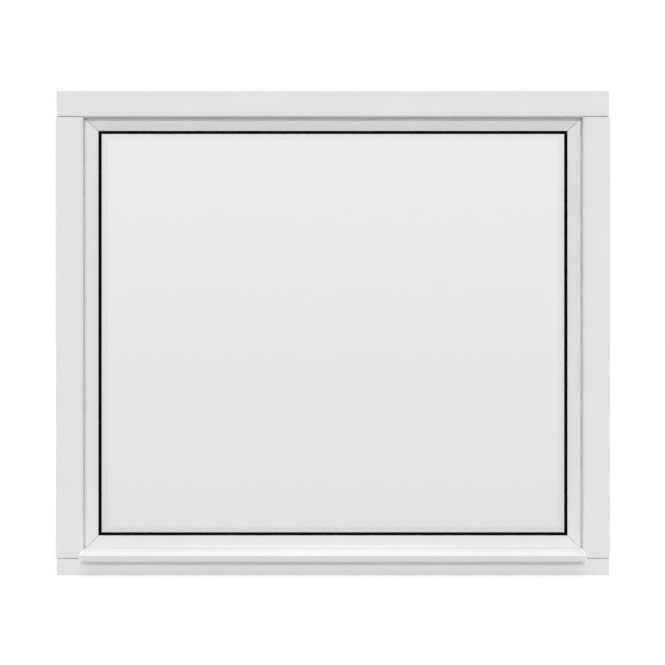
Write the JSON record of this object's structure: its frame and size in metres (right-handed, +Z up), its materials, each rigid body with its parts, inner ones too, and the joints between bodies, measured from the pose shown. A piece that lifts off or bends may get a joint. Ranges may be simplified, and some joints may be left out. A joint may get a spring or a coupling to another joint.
{
  "type": "fixed picture window",
  "caption": "Fixed picture window: white painted timber frame with head and sill running past the jambs, bevelled glazing beads, a projecting drip bead and sealed insulating glass.",
  "frame": {"origin": "middle of the sill's underside, half way through the frame's depth", "axes": "+X along the wall to the right as seen from outside, +Y from outside to the room, +Z up"},
  "size_m": [0.948, 0.1374, 0.828],
  "materials": {
    "painted_timber": "white factory paint, satin",
    "painted_bead": "white factory paint, satin",
    "coated_aluminium": "white powder coat, satin",
    "cap_plastic": "white moulded plastic, satin",
    "glass": "clear float glass",
    "black_rubber": "black extruded rubber, matt",
    "glazing_tape": "black foam tape, matt",
    "spacer_plastic": "black warm-edge spacer, matt",
    "edge_sealant": "black sealant, matt",
    "block_plastic": "moulded plastic, matt"
  },
  "bodies": {
    "root": {"head": "painted_timber", "sill": "painted_timber", "left_jamb": "painted_timber", "right_jamb": "painted_timber", "top_bead": "painted_bead", "left_bead": "painted_bead", "right_bead": "painted_bead", "drip_bead": "coated_aluminium", "left_end_cap": "cap_plastic", "right_end_cap": "cap_plastic", "outer_pane": "glass", "inner_pane": "glass", "left_outer_gasket": "black_rubber", "right_outer_gasket": "black_rubber", "top_outer_gasket": "black_rubber", "bottom_outer_gasket": "black_rubber", "left_glazing_tape": "glazing_tape", "right_glazing_tape": "glazing_tape", "top_glazing_tape": "glazing_tape", "bottom_glazing_tape": "glazing_tape", "left_spacer": "spacer_plastic", "right_spacer": "spacer_plastic", "top_spacer": "spacer_plastic", "bottom_spacer": "spacer_plastic", "left_edge_seal": "edge_sealant", "right_edge_seal": "edge_sealant", "top_edge_seal": "edge_sealant", "bottom_edge_seal": "edge_sealant", "left_setting_block": "block_plastic", "right_setting_block": "block_plastic"}
  },
  "joints": []
}
